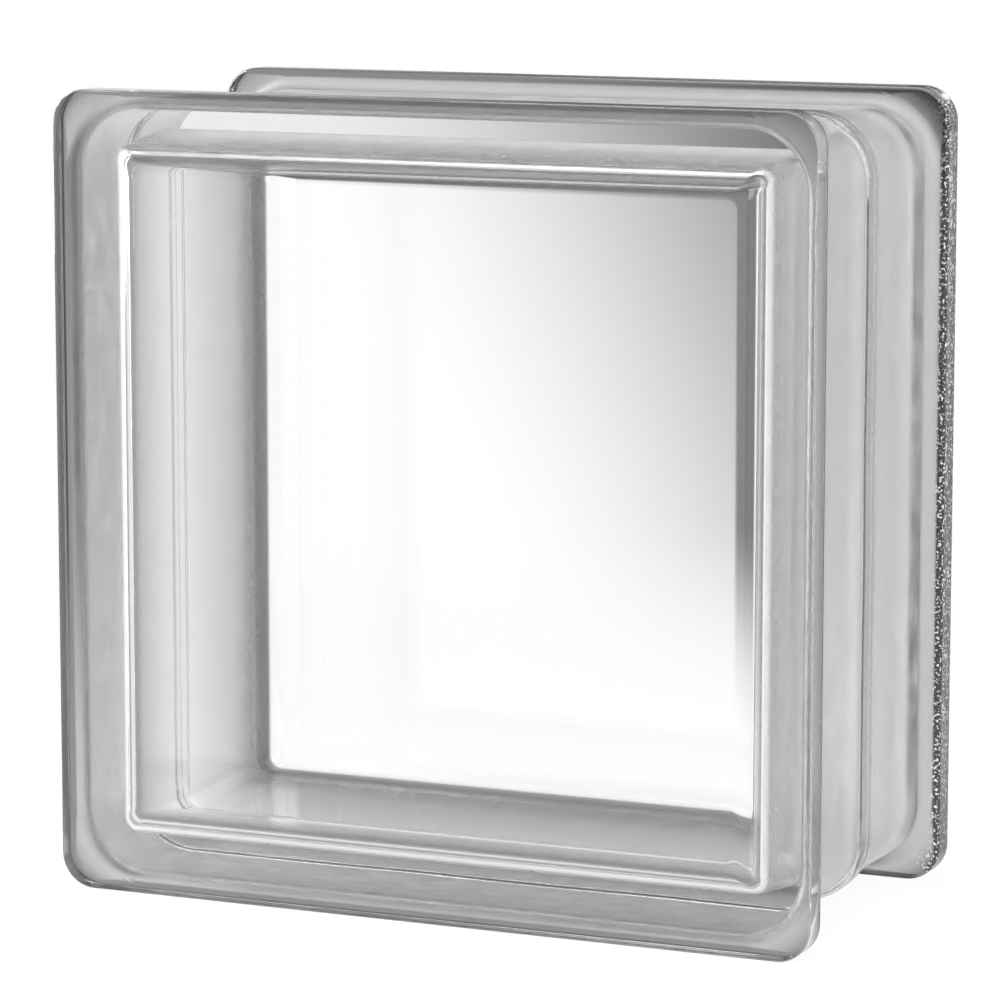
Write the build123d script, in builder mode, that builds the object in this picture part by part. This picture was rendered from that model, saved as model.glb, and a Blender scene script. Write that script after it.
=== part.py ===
"""A hollow glass block of the clear, see-through pattern, standing on its bottom edge.

The block is pressed as two square trays of soda-lime glass. Their open lips are heated and
pushed together, so that they fuse into one piece with a sealed hollow inside. Each tray has a
plain face with a rim that stands out all round it, and the two rims leave a channel round the
four sides, where the mortar goes.

Millimetres. +Z is up, +X runs along the face, and the faces look along -Y (front) and +Y (rear).
The origin is on the ground, under the middle of the block. The seam lies in the XZ plane.
"""

from build123d import *
import os

INCH = 25.4

# Whole block: the size sold as 8 x 8 x 4 in, less a quarter inch for the mortar joint
face_side = 7.75 * INCH
block_depth = 3.875 * INCH

# Rim round each face
rim_thickness = 7.4
rim_corner_radius = 8.6
rim_face_round = 0.6
rim_parting_edge = 0.8

# Mortar channel between the rims
channel_depth = 4.9
channel_corner_radius = 15.0
channel_root_radius = 3.9

# Lip of each tray, swollen where it was fused: a bead in the channel, a lesser one inside
bead_reach = 3.3
bead_height = 1.5
bead_shoulder = 1.0
seam_crease = 0.5
inner_bead_reach = 0.6
inner_bead_height = 0.3
inner_bead_crest = 0.2

# Sealed hollow of each tray
face_glass = 6.9
wall_glass_at_seam = 6.3
hollow_draft_angle = 3.4
hollow_edge_radius = 6.0

# Worked out from the sizes above
tray_depth = block_depth / 2
wall_side = face_side - 2 * channel_depth
bead_side = wall_side + 2 * bead_height
bead_corner_radius = channel_corner_radius + bead_height
hollow_side = wall_side - 2 * wall_glass_at_seam
hollow_depth = tray_depth - face_glass
inner_bead_side = hollow_side - 2 * inner_bead_height
inner_bead_corner_radius = hollow_edge_radius - inner_bead_height

# Both sketches look out of the front of the block, with the block's middle as their centre
seam_plane = Plane(origin=(0, 0, face_side / 2), x_dir=(1, 0, 0), z_dir=(0, -1, 0))
face_plane = seam_plane.offset(tray_depth)

PLACE_TOLERANCE = 0.01


def flat_face(part, depth):
    """The flat face, square to the Y axis, that lies this far in front of the seam."""
    flat = part.faces().filter_by(Axis.Y)
    return flat.filter_by_position(Axis.Y, -depth - PLACE_TOLERANCE, -depth + PLACE_TOLERANCE)[0]


# The plunger, whose shape is the hollow of one tray. It narrows towards the face, so that it
# comes out of the glass, and all its edges but those of the mouth are rounded alike
with BuildPart() as plunger:
    with BuildSketch(seam_plane):
        Rectangle(hollow_side, hollow_side)
    extrude(amount=hollow_depth, taper=hollow_draft_angle)
    mouth = flat_face(plunger, 0).outer_wire()
    fillet(plunger.edges() - mouth.edges(), hollow_edge_radius)

# The front tray, solid at first: its wall, the rim round its face, and the bead at its lip
with BuildPart() as tray:
    with BuildSketch(seam_plane):
        RectangleRounded(wall_side, wall_side, channel_corner_radius)
    extrude(amount=tray_depth)

    with BuildSketch(face_plane):
        RectangleRounded(face_side, face_side, rim_corner_radius)
    extrude(amount=-rim_thickness)

    with BuildSketch(seam_plane):
        RectangleRounded(bead_side, bead_side, bead_corner_radius)
    extrude(amount=bead_reach)

    # Soft root where the rim leaves the channel wall, the crisp edge that the mould's parting
    # leaves at the rim's back, and the rounded edge of the face
    fillet(flat_face(tray, tray_depth - rim_thickness).inner_wires()[0].edges(), channel_root_radius)
    chamfer(flat_face(tray, tray_depth - rim_thickness).outer_wire().edges(), rim_parting_edge)
    fillet(flat_face(tray, tray_depth).outer_wire().edges(), rim_face_round)

    # The bead's shoulder, and the crease that the two beads leave at the seam
    chamfer(flat_face(tray, bead_reach).outer_wire().edges(), bead_shoulder)
    chamfer(flat_face(tray, 0).outer_wire().edges(), seam_crease)

    # The hollow that the plunger leaves
    add(plunger.part, mode=Mode.SUBTRACT)

    # The lesser bead inside
    with BuildSketch(seam_plane):
        RectangleRounded(wall_side, wall_side, channel_corner_radius)
        RectangleRounded(inner_bead_side, inner_bead_side, inner_bead_corner_radius, mode=Mode.SUBTRACT)
    extrude(amount=inner_bead_reach)
    chamfer(flat_face(tray, inner_bead_reach).inner_wires()[0].edges(), inner_bead_crest)

# The block: the tray and its mirror image, fused along the seam round the sealed hollow
with BuildPart() as glass_block:
    add(tray.part)
    mirror(about=Plane.XZ)

glass_block.part.label = "glass_block"

os.makedirs("parts", exist_ok=True)
export_step(glass_block.part, "parts/glass_block.step")
print(f"glass_block: {len(glass_block.solids())} solid, {glass_block.part.volume / 1e3:.1f} cm3")
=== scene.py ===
# %% [markdown]
# # A hollow glass block
#
# The block is pressed as two square trays of glass, which are fused lip to lip round a sealed
# hollow. This lesson dresses the plain solid of the frame. It makes the block again as a finer
# mesh, which bends light well, and gives it clear faces, a frosted mortar channel and a studio.

from math import cos, pi, radians, sin, sqrt, tan

import bmesh
import bpy
from mathutils import Matrix, Vector, noise


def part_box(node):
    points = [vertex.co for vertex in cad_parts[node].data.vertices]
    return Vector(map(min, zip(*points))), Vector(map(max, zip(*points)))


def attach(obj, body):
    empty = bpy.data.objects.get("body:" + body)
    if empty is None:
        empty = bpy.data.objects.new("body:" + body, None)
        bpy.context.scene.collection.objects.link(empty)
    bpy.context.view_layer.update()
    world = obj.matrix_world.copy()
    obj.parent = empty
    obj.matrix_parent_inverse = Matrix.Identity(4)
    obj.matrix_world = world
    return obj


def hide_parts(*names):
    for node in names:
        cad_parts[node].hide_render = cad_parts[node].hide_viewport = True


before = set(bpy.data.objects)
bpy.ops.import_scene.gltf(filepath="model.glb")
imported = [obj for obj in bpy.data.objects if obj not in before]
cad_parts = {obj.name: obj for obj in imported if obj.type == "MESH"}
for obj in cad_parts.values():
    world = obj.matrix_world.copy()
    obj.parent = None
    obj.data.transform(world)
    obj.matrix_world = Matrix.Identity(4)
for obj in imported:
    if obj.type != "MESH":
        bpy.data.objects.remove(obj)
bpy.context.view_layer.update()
low, high = (Vector(corner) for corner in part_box("glass_block"))
middle = (low + high) / 2
MM = 0.001
rim_half = (high.x - low.x) / 2
tray_depth = (high.y - low.y) / 2
print("the block is", round(2 * rim_half / MM, 1), "mm square")
print("and", round(2 * tray_depth / MM, 1), "mm deep")

# %% [markdown]
# ## Camera
#
# The camera comes first, because every later choice is judged through it. The block was
# photographed from its right and from a little above, through a long lens, which keeps its
# edges nearly parallel. Turn, tilt, distance and lens are fitted to the corners of its outline.

# %% Camera
camera_turn = radians(24.1)
camera_tilt = radians(8.75)
camera_distance = 1.157
camera_lens = 169.8
aim_right = -0.0017
aim_up = -0.0027

right = Vector((cos(camera_turn), sin(camera_turn), 0))
level_ahead = Vector((-sin(camera_turn), cos(camera_turn), 0))
ahead = level_ahead * cos(camera_tilt) - Vector((0, 0, 1)) * sin(camera_tilt)
up = level_ahead * sin(camera_tilt) + Vector((0, 0, 1)) * cos(camera_tilt)

camera_data = bpy.data.cameras.new("camera")
camera_data.lens = camera_lens
camera_data.clip_start = 0.01
camera_data.clip_end = 50
camera = bpy.data.objects.new("camera", camera_data)
camera.location = middle + right * aim_right + up * aim_up - ahead * camera_distance
camera.rotation_euler = (pi / 2 - camera_tilt, 0, camera_turn)
bpy.context.scene.collection.objects.link(camera)
bpy.context.scene.camera = camera
print("the camera stands at", [round(number, 3) for number in camera.location])

# %% [markdown]
# ## Rings
#
# Every section across the block is a square with round corners, so the mesh can be skinned over
# a row of such rings. A ring could be a curve object, but a plain square whose four corners are
# beveled has its points in the same order each time, and then any two rings bridge neatly.
# Spare points along the straight sides keep the quads short, because long thin ones bend light
# badly.

# %% One ring
corner_steps = 14
side_cuts = 31


def ring(skin, half, corner_radius, depth, keep_face=False):
    """The edges of a rounded square that lies across the block at this depth."""
    upright = Matrix.Rotation(pi / 2, 4, "X") @ Matrix.Rotation(pi / 4, 4, "Z")
    place = Matrix.Translation((0, depth, middle.z)) @ upright
    square = bmesh.ops.create_circle(skin, cap_ends=True, segments=4, radius=half * sqrt(2),
                                     matrix=place)
    rounded = bmesh.ops.bevel(skin, geom=square["verts"], affect="VERTICES", offset=corner_radius,
                              offset_type="OFFSET", segments=corner_steps, profile=0.5, material=-1)
    face = rounded["verts"][0].link_faces[0]
    straight = [edge for edge in face.edges if edge.calc_length() > half]
    bmesh.ops.subdivide_edges(skin, edges=straight, cuts=side_cuts)
    edges = list(face.edges)
    if not keep_face:
        bmesh.ops.delete(skin, geom=[face], context="FACES_ONLY")
    return edges


print("a ring has", 4 * (corner_steps + side_cuts + 1), "edges")

# %% [markdown]
# Three short helpers do the rest. One bridges a row of rings, one rounds a ring that is still a
# sharp edge, and one adds the rear tray as the mirror image of the front one.

# %% Bridge, round off and mirror
def bridge(skin, rings):
    """Skin a row of rings, each to the next, and return the longest edge between two of them."""
    longest = 0
    for one, other in zip(rings, rings[1:]):
        made = bmesh.ops.bridge_loops(skin, edges=one + other)
        longest = max([longest] + [edge.calc_length() for edge in made["edges"]])
    return longest


def round_off(skin, edges, radius, segments):
    """Round a ring of sharp edges, inner or outer."""
    bmesh.ops.bevel(skin, geom=edges, affect="EDGES", offset=radius, offset_type="OFFSET",
                    segments=segments, profile=0.5, material=-1, clamp_overlap=False)


def add_rear_tray(skin):
    """Mirror the front tray and weld the two at the seam."""
    everything = skin.verts[:] + skin.edges[:] + skin.faces[:]
    bmesh.ops.mirror(skin, geom=everything, matrix=Matrix(), merge_dist=0.01 * MM, axis="Y")
    bmesh.ops.recalc_face_normals(skin, faces=skin.faces[:])


# %% [markdown]
# ## Outside of the trays
#
# The outside of a tray is a row of seven rings: the edge of the face, the back edge of its rim,
# the foot of the rim, then the foot, shoulder and crest of the bead that was squeezed out where
# the lips were fused, and last the seam. The edges stay sharp at first and are rounded
# afterwards, each with its own radius, as a mould maker does it.

# %% Outside
rim_thickness = 7.4 * MM
rim_corner = 8.6 * MM
rim_face_round = 0.6 * MM
rim_back_round = 0.9 * MM
channel_depth = 4.9 * MM
channel_corner = 15 * MM
channel_root = 3.9 * MM
bead_reach = 3.3 * MM
bead_height = 1.5 * MM
bead_slope = 0.3 * MM
bead_round = 1.2 * MM
bead_root = 0.8 * MM
seam_crease = 0.5 * MM

wall_half = rim_half - channel_depth
bead_half = wall_half + bead_height
bead_corner = channel_corner + bead_height

outside = bmesh.new()
face_edge = ring(outside, rim_half, rim_corner, -tray_depth, keep_face=True)
rim_back = ring(outside, rim_half, rim_corner, -tray_depth + rim_thickness)
rim_foot = ring(outside, wall_half, channel_corner, -tray_depth + rim_thickness)
bead_foot = ring(outside, wall_half, channel_corner, -bead_reach - bead_slope)
bead_shoulder = ring(outside, bead_half, bead_corner, -bead_reach + bead_slope)
bead_crest = ring(outside, bead_half, bead_corner, -seam_crease)
seam = ring(outside, bead_half - seam_crease, bead_corner - seam_crease, 0)
span = bridge(outside, [face_edge, rim_back, rim_foot, bead_foot, bead_shoulder, bead_crest, seam])
for sharp, radius, segments in ((face_edge, rim_face_round, 8), (rim_back, rim_back_round, 6),
                                (rim_foot, channel_root, 10), (bead_foot, bead_root, 5),
                                (bead_shoulder, bead_round, 8), (bead_crest, seam_crease / 2, 3)):
    round_off(outside, sharp, radius, segments)
print("the front tray's outside has", len(outside.faces), "faces")
print("the longest edge between two rings is", round(span / MM, 1), "mm")

# %% [markdown]
# The bead was soft when the trays were pressed together, so it isn't quite straight. Each of its
# points is pushed in or out by a smooth noise of at most a fifth of a millimetre. The noise
# depends on the place along the seam only, so the bead keeps its section.

# %% Uneven bead
bead_wave = 0.2 * MM
waves_per_metre = 30
pushes = []
for vert in outside.verts:
    if abs(vert.co.y) < bead_reach + 2 * bead_slope:
        outwards = Vector((vert.co.x, 0, vert.co.z - middle.z)).normalized()
        push = bead_wave * noise.noise(Vector((vert.co.x, 0, vert.co.z)) * waves_per_metre)
        vert.co += outwards * push
        pushes.append(push)
add_rear_tray(outside)
print("the bead waves from", round(min(pushes) / MM, 2), "to", round(max(pushes) / MM, 2), "mm")

# %% [markdown]
# ## Hollow
#
# The hollow is a second closed skin inside the first. On the real block a plunger presses it. It
# narrows towards the face, so that it comes out of the glass, and it has a generous round where
# the face begins. The round could be one more bevel, but here it is a row of rings, because the
# corners of the hollow tighten from its mouth to its floor. The faces of this skin are turned
# inwards, away from the glass, so that a ray knows when it leaves the glass for the air inside.

# %% Hollow
face_glass = 6.9 * MM
wall_glass = 6.3 * MM
draft = radians(3.4)
mouth_corner = 4.0 * MM
floor_corner = 2.5 * MM
floor_round = 8 * MM
floor_steps = 16
inner_bead_reach = 0.6 * MM
inner_bead_height = 0.3 * MM

hollow_depth = tray_depth - face_glass
mouth_half = wall_half - wall_glass
floor_half = mouth_half - hollow_depth * tan(draft)
flat_half = floor_half - floor_round * tan((pi / 2 - draft) / 2)

hollow = bmesh.new()
rings = [ring(hollow, flat_half, floor_corner, -hollow_depth, keep_face=True)]
for step in range(1, floor_steps + 1):
    turn = (pi / 2 - draft) * step / floor_steps
    corner = floor_corner + (mouth_corner - floor_corner) * step / floor_steps
    rings.append(ring(hollow, flat_half + floor_round * sin(turn), corner,
                      -hollow_depth + floor_round * (1 - cos(turn))))
mouth = ring(hollow, mouth_half, mouth_corner, -inner_bead_reach)
inner_seam = ring(hollow, mouth_half - inner_bead_height, mouth_corner - inner_bead_height, 0)
bridge(hollow, rings + [mouth, inner_seam])
round_off(hollow, mouth, inner_bead_height / 2, 3)
add_rear_tray(hollow)
bmesh.ops.reverse_faces(hollow, faces=hollow.faces[:])
print("the clear window of the hollow is", round(2 * flat_half / MM, 1), "mm square")

# %% [markdown]
# ## One piece of glass
#
# The two skins go into one mesh, because the fused block is one piece. The large flat faces would
# shade as if they bulged, if each corner took the plain average of the faces round it. So the
# normals are weighted by face area, and that result is stored in the mesh.

# %% Block
both_skins = bmesh.new()
for skin in (outside, hollow):
    carrier = bpy.data.meshes.new("carrier")
    skin.to_mesh(carrier)
    both_skins.from_mesh(carrier)
    bpy.data.meshes.remove(carrier)
rough_mesh = bpy.data.meshes.new("rough_block")
both_skins.to_mesh(rough_mesh)
rough_mesh.polygons.foreach_set("use_smooth", [True] * len(rough_mesh.polygons))
block = bpy.data.objects.new("block", rough_mesh)
bpy.context.scene.collection.objects.link(block)
even = block.modifiers.new("even", "WEIGHTED_NORMAL")
even.mode = "FACE_AREA"
even.weight = 100
block_mesh = bpy.data.meshes.new_from_object(block.evaluated_get(bpy.context.evaluated_depsgraph_get()))
block.modifiers.clear()
block.data = block_mesh
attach(block, "root")
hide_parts("glass_block")
print("the block has", len(block_mesh.polygons), "faces and", len(block_mesh.vertices), "points")

# %% [markdown]
# ## Where each finish and painted shade lies
#
# One piece of glass has several finishes, and painted shade lies over most of them. The faces and
# the hollow are fire polished. The mortar channel has a thin frosting, which makes mortar stick,
# with a faint painted shade. The back of the rims is painted a little greyer as shade, the bead is
# half darkened with painted shade, and the edge where the mould parted is painted dark as shade. At
# the left and right of the rear rim, on which the block has stood, the edge and the side are
# scuffed, which pits them, and are painted almost black as shade. In the hollow, a line of painted
# grey shade runs round each face where its round is steepest, and the glass is a little dull there.
#
# Separate materials would do for an opaque thing. In glass, a ray is followed from where it enters
# to where it leaves, which works best with one material all round. So each point of the mesh stores
# three numbers, and the material reads them: painted shade, which is how far the glass is darkened
# to stand in for shade, dullness, which becomes roughness, and grain, which is how much the surface
# is pitted.

# %% Finishes and painted shade, by their place on the block
# Each finish is painted shade, dullness and grain. The painted shade darkens the glass in place of
# shade: faint on the frosting, grey on the rim backs and the bead, dark on the parting edge and the
# line in the hollow, and almost black on the scuffed sides.
polished = (0.0, 0.0, 0.0)
frosted_and_shaded = (0.03, 0.5, 0.0)
rim_shade = (0.7, 0.45, 0.05)
bead_shade = (0.45, 0.05, 0.0)
shaded_parting_edge = (0.95, 0.15, 0.0)
scuffed_and_shaded = (1.0, 0.15, 1.0)
hollow_shade_line = (0.9, 0.3, 0.0)
finish_names = ("painted_shade", "dullness", "grain")
parting_reach = 2.0 * MM
shade_line_start, shade_line_end = 3.5 * MM, 8.5 * MM
hollow_margin = 0.7 * MM
edge_margin = 0.1 * MM
rim_shade_reach = rim_thickness + 0.9 * channel_root


def inset(point):
    """How far this point lies inside the outline of the rims."""
    across, upright = abs(point.x), abs(point.z - middle.z)
    straight = rim_half - rim_corner
    over = Vector((max(across - straight, 0), max(upright - straight, 0)))
    if over.length > 0:
        return rim_corner - over.length
    return rim_half - max(across, upright)


def finish_at(point):
    """The painted shade, dullness and grain of the glass at this point."""
    inside, from_face = inset(point), tray_depth - abs(point.y)
    # The left and right sides of the rear rim, which are pitted and painted almost black as shade.
    rear_sides = point.y > 0 and abs(point.x) > abs(point.z - middle.z)
    if inside > channel_depth + wall_glass - hollow_margin:
        # Round each face of the hollow lies a line of painted grey shade.
        return hollow_shade_line if shade_line_start < from_face - face_glass < shade_line_end else polished
    if from_face < edge_margin:
        return polished
    if from_face < rim_thickness - rim_back_round - edge_margin:
        return scuffed_and_shaded if rear_sides else polished
    # The parting edge is painted dark as shade; on the rear sides it is pitted and painted almost
    # black.
    if inside < parting_reach:
        return scuffed_and_shaded if rear_sides else shaded_parting_edge
    # The bead is half darkened with painted shade.
    if abs(point.y) < bead_reach + bead_slope:
        return bead_shade
    # The back of the rims takes a grey painted shade, and the rest of the channel is frosted with a
    # faint one.
    return rim_shade if from_face < rim_shade_reach else frosted_and_shaded


# %% Store the finishes
# The first number stored at each point is painted shade.
finishes = [finish_at(vert.co) for vert in block_mesh.vertices]
for number, name in enumerate(finish_names):
    layer = block_mesh.attributes.new(name, "FLOAT", "POINT")
    layer.data.foreach_set("value", [finish[number] for finish in finishes])
for name, finish in (("polished", polished), ("frosted_and_shaded", frosted_and_shaded), ("scuffed_and_shaded", scuffed_and_shaded)):
    print(name, "points:", sum(one == finish for one in finishes))

# %% [markdown]
# ## Glass
#
# Soda-lime glass bends light by 1.52. The shader is a plain Principled BSDF with full
# transmission, which is easier to read and to export than a Glass BSDF with a mix of others. It
# is made first, with the values that are the same everywhere on its own sockets.

# %% Glass shader
glass_material = bpy.data.materials.new("clear_glass")
glass_material.use_nodes = True
nodes, links = glass_material.node_tree.nodes, glass_material.node_tree.links
glass = nodes["Principled BSDF"]
glass.inputs["IOR"].default_value = 1.52
glass.inputs["Transmission Weight"].default_value = 1.0
block_mesh.materials.append(glass_material)
print("glass bends light by", round(glass.inputs["IOR"].default_value, 2))

# %% [markdown]
# Four helpers keep the node tree short: one reads a stored number, one makes noise that stays
# with the glass, because it uses Object coordinates, one does arithmetic and one rescales.

# %% Helpers for nodes
def stored(name):
    """A number that is stored at the points of the mesh."""
    reader = nodes.new("ShaderNodeAttribute")
    reader.attribute_name = name
    return reader.outputs["Fac"]


def noise_of(scale, detail):
    """Smooth noise with about this many grains to the metre."""
    grains = nodes.new("ShaderNodeTexNoise")
    grains.inputs["Scale"].default_value = scale
    grains.inputs["Detail"].default_value = detail
    links.new(nodes.new("ShaderNodeTexCoord").outputs["Object"], grains.inputs["Vector"])
    return grains.outputs["Fac"]


def arithmetic(operation, one, other):
    """One sum or product of two values, each a plain float or another node's output."""
    node = nodes.new("ShaderNodeMath")
    node.operation = operation
    for socket, value in zip(node.inputs, (one, other)):
        if isinstance(value, float):
            socket.default_value = value
        else:
            links.new(value, socket)
    return node.outputs[0]


def rescale(value, start, end, first, last):
    """Map a value that goes from start to end to one that goes from first to last."""
    node = nodes.new("ShaderNodeMapRange")
    for name, number in (("From Min", start), ("From Max", end), ("To Min", first), ("To Max", last)):
        node.inputs[name].default_value = number
    links.new(value, node.inputs["Value"])
    return node.outputs["Result"]


# %% [markdown]
# ### Colour
#
# Clear glass is almost colourless. The painted shade darkens it towards a near black, in place of
# the grey and dark bands that light and shade make in the glass. On the scuffed and pitted places a
# fine noise takes specks out of the painted shade, so that small chips of bare glass shine through.

# %% Colour of the glass
specks_per_metre = 1500.0
speck_start, speck_end = 0.56, 0.66
specks = rescale(noise_of(specks_per_metre, 2.0), speck_start, speck_end, 0.0, 0.95)
shade_left = arithmetic("SUBTRACT", 1.0, arithmetic("MULTIPLY", specks, stored("grain")))
# Painted shade: the glass goes from almost white to almost black with the shade painted there.
colour = nodes.new("ShaderNodeMix")
colour.data_type = "RGBA"
colour.inputs["A"].default_value = (0.995, 0.998, 0.997, 1)
colour.inputs["B"].default_value = (0.003, 0.003, 0.003, 1)
links.new(arithmetic("MULTIPLY", stored("painted_shade"), shade_left), colour.inputs["Factor"])
links.new(colour.outputs["Result"], glass.inputs["Base Color"])
print("specks of bare glass lie about", round(1 / specks_per_metre / MM, 1), "mm apart")

# %% [markdown]
# ### Roughness
#
# The frosting is brushed or sprayed on by hand, so it is thicker in some places than in others.
# A soft noise varies the dullness by up to two fifths, and leaves the polished faces at zero.

# %% Roughness of the glass
thinnest, thickest = 0.6, 1.4
cloud = rescale(noise_of(140.0, 3.0), 0.0, 1.0, thinnest, thickest)
links.new(arithmetic("MULTIPLY", stored("dullness"), cloud), glass.inputs["Roughness"])
print("the frosting's roughness is", [round(frosted_and_shaded[1] * share, 2) for share in (thinnest, thickest)])

# %% [markdown]
# ### Pits and waves
#
# Pressed glass is never quite flat: it has long, very shallow waves, which show as a faint
# shimmer in the lines behind it. The pitted edges also have fine grain. Both are heights, in
# millimetres, that feed one Bump node.

# %% Pits and waves of the glass
pit_height, wave_height = 0.08, 0.008
pitted = arithmetic("MULTIPLY", noise_of(2200.0, 2.0), stored("grain"))
pits = arithmetic("MULTIPLY", pitted, pit_height)
waves = arithmetic("MULTIPLY", noise_of(45.0, 1.0), wave_height)
bump = nodes.new("ShaderNodeBump")
bump.inputs["Strength"].default_value = 1.0
bump.inputs["Distance"].default_value = MM
links.new(arithmetic("ADD", pits, waves), bump.inputs["Height"])
links.new(bump.outputs["Normal"], glass.inputs["Normal"])
print("the waves are", wave_height, "mm high and the pits", pit_height, "mm deep")

# %% [markdown]
# ### Grey in the depth
#
# A ray that crosses a face loses nearly nothing, but one that runs along inside the wall loses
# some light on its way, so the block looks greyer at its edges. Volume Absorption does just
# that, by the length of the way.

# %% Depth of the glass
body = nodes.new("ShaderNodeVolumeAbsorption")
body.inputs["Color"].default_value = (0.0, 0.0, 0.0, 1)
body.inputs["Density"].default_value = 2.0
links.new(body.outputs["Volume"], nodes["Material Output"].inputs["Volume"])
print("the glass material has", len(nodes), "nodes")

# %% [markdown]
# ## Room
#
# Glass shows only its surroundings, so the room matters more than the lamps. It is white, with
# one dark flag up on the right, beyond the block. A flag is what a photographer puts there, so
# that clear glass gets dark edges and its window fades to grey on that side. The room is less
# bright overhead. The dark parts are told by direction alone: how far a direction leans towards
# the flag or upwards, as a number from -1 to 1.

# %% Room
room = bpy.data.worlds.new("studio")
bpy.context.scene.world = room
room.use_nodes = True
nodes, links = room.node_tree.nodes, room.node_tree.links
walls = nodes["Background"]
walls.inputs["Color"].default_value = (1, 1, 1, 1)
direction = nodes.new("ShaderNodeTexCoord")


def lean(way):
    """How far each direction of the room leans this way, from -1 to 1."""
    dot = nodes.new("ShaderNodeVectorMath")
    dot.operation = "DOT_PRODUCT"
    dot.inputs[1].default_value = way
    links.new(direction.outputs["Generated"], dot.inputs[0])
    return dot.outputs["Value"]


def soft_step(value, start, end, first, last):
    """A smooth step from first to last, while the value goes from start to end."""
    result = rescale(value, start, end, first, last)
    result.node.interpolation_type = "SMOOTHSTEP"
    return result


wall_white = 1.05
flag_dark = 0.1
ceiling_dark = 0.7
flag_begins = (-0.01, 0.11)
flag_ends = (0.35, 0.7)
ceiling_begins = (0.05, 0.5)
to_flag = lean(right * 0.908 + up * 0.419)
flag = soft_step(to_flag, *flag_begins, wall_white, wall_white * flag_dark)
past_flag = soft_step(to_flag, *flag_ends, 1.0, 1.0 / flag_dark)
ceiling = soft_step(lean(Vector((0, 0, 1))), *ceiling_begins, 1.0, ceiling_dark)
shades = arithmetic("MULTIPLY", arithmetic("MULTIPLY", flag, past_flag), ceiling)
links.new(shades, walls.inputs["Strength"])
print("the flag is", round(1 / flag_dark), "times darker than the walls")

# %% [markdown]
# The camera itself must not see the flag, but a plain white background. Light Path's Is Camera
# Ray tells the two apart, and a strength of 1 is white.

# %% Background
background = nodes.new("ShaderNodeBackground")
background.inputs["Color"].default_value = (1, 1, 1, 1)
background.inputs["Strength"].default_value = 1.0
choice = nodes.new("ShaderNodeMixShader")
links.new(nodes.new("ShaderNodeLightPath").outputs["Is Camera Ray"], choice.inputs["Fac"])
links.new(walls.outputs["Background"], choice.inputs[1])
links.new(background.outputs["Background"], choice.inputs[2])
links.new(choice.outputs["Shader"], nodes["World Output"].inputs["Surface"])
bpy.context.scene.view_settings.view_transform = "Standard"

# %% [markdown]
# ## Floor
#
# The floor is a round sheet of white paper. Camera, glossy and transmission rays see it partly as
# a white glow, so that it matches the background and shows white in the glass, and the rest of it
# is matt and takes the block's shadow. The glow is weaker close to the block, where the shadow
# is. Towards its rim the sheet fades away, so that no edge shows.

# %% Floor
floor_reach = 0.6
fade_start = 0.3 * floor_reach
shadow_reach = (0.08, 0.4)
glow_in_shadow = 0.9
sheet = bmesh.new()
bmesh.ops.create_circle(sheet, cap_ends=True, segments=64, radius=floor_reach)
floor_mesh = bpy.data.meshes.new("floor")
sheet.to_mesh(floor_mesh)
floor = bpy.data.objects.new("floor", floor_mesh)
bpy.context.scene.collection.objects.link(floor)
print("the floor is", 2 * floor_reach, "m across")

# %% Paper
paper = bpy.data.materials.new("floor_paper")
paper.use_nodes = True
nodes, links = paper.node_tree.nodes, paper.node_tree.links
matt = nodes["Principled BSDF"]
matt.inputs["Base Color"].default_value = (0.9, 0.9, 0.9, 1)
matt.inputs["Roughness"].default_value = 1.0
matt.inputs["Specular IOR Level"].default_value = 0.0
glow = nodes.new("ShaderNodeEmission")
glow.inputs["Color"].default_value = (1, 1, 1, 1)
length = nodes.new("ShaderNodeVectorMath")
length.operation = "LENGTH"
links.new(nodes.new("ShaderNodeTexCoord").outputs["Object"], length.inputs[0])
path = nodes.new("ShaderNodeLightPath").outputs
through_glass = arithmetic("MAXIMUM", path["Is Glossy Ray"], path["Is Transmission Ray"])
seen = arithmetic("MAXIMUM", path["Is Camera Ray"], through_glass)
out_of_shadow = rescale(length.outputs["Value"], *shadow_reach, glow_in_shadow, 1.0)
glow_share = arithmetic("MULTIPLY", seen, out_of_shadow)
lit = nodes.new("ShaderNodeMixShader")
links.new(glow_share, lit.inputs["Fac"])
links.new(matt.outputs["BSDF"], lit.inputs[1])
links.new(glow.outputs["Emission"], lit.inputs[2])
faded = nodes.new("ShaderNodeMixShader")
fade = soft_step(length.outputs["Value"], fade_start, floor_reach, 0.0, 1.0)
links.new(fade, faded.inputs["Fac"])
links.new(lit.outputs["Shader"], faded.inputs[1])
links.new(nodes.new("ShaderNodeBsdfTransparent").outputs["BSDF"], faded.inputs[2])
links.new(faded.outputs["Shader"], nodes["Material Output"].inputs["Surface"])
floor_mesh.materials.append(paper)
print("the paper has", len(nodes), "nodes")

# %% [markdown]
# ## Lamps
#
# Three softboxes give the glints along the rims and light the frosting: a key light on the right,
# a tall narrow one on the left, and one overhead, which also lays a soft shadow under the block.

# %% Softboxes
def softbox(name, turn, rise, distance, width, height, power):
    """A lamp this many degrees to the right of the front and above the floor, facing the block."""
    data = bpy.data.lights.new(name, "AREA")
    data.shape = "RECTANGLE"
    data.size, data.size_y, data.energy = width, height, power
    lamp = bpy.data.objects.new(name, data)
    bpy.context.scene.collection.objects.link(lamp)
    flat = Vector((sin(radians(turn)), -cos(radians(turn)), 0)) * cos(radians(rise))
    way = flat + Vector((0, 0, sin(radians(rise))))
    lamp.location = middle + way * distance
    lamp.rotation_euler = way.to_track_quat("Z", "Y").to_euler()
    print(name, "gives", power, "W from", distance, "m")


softbox("key_box", turn=55, rise=25, distance=1.5, width=1.1, height=1.1, power=20)
softbox("left_box", turn=-80, rise=20, distance=1.4, width=0.5, height=1.2, power=45)
softbox("top_box", turn=0, rise=85, distance=1.2, width=1.0, height=0.5, power=8)
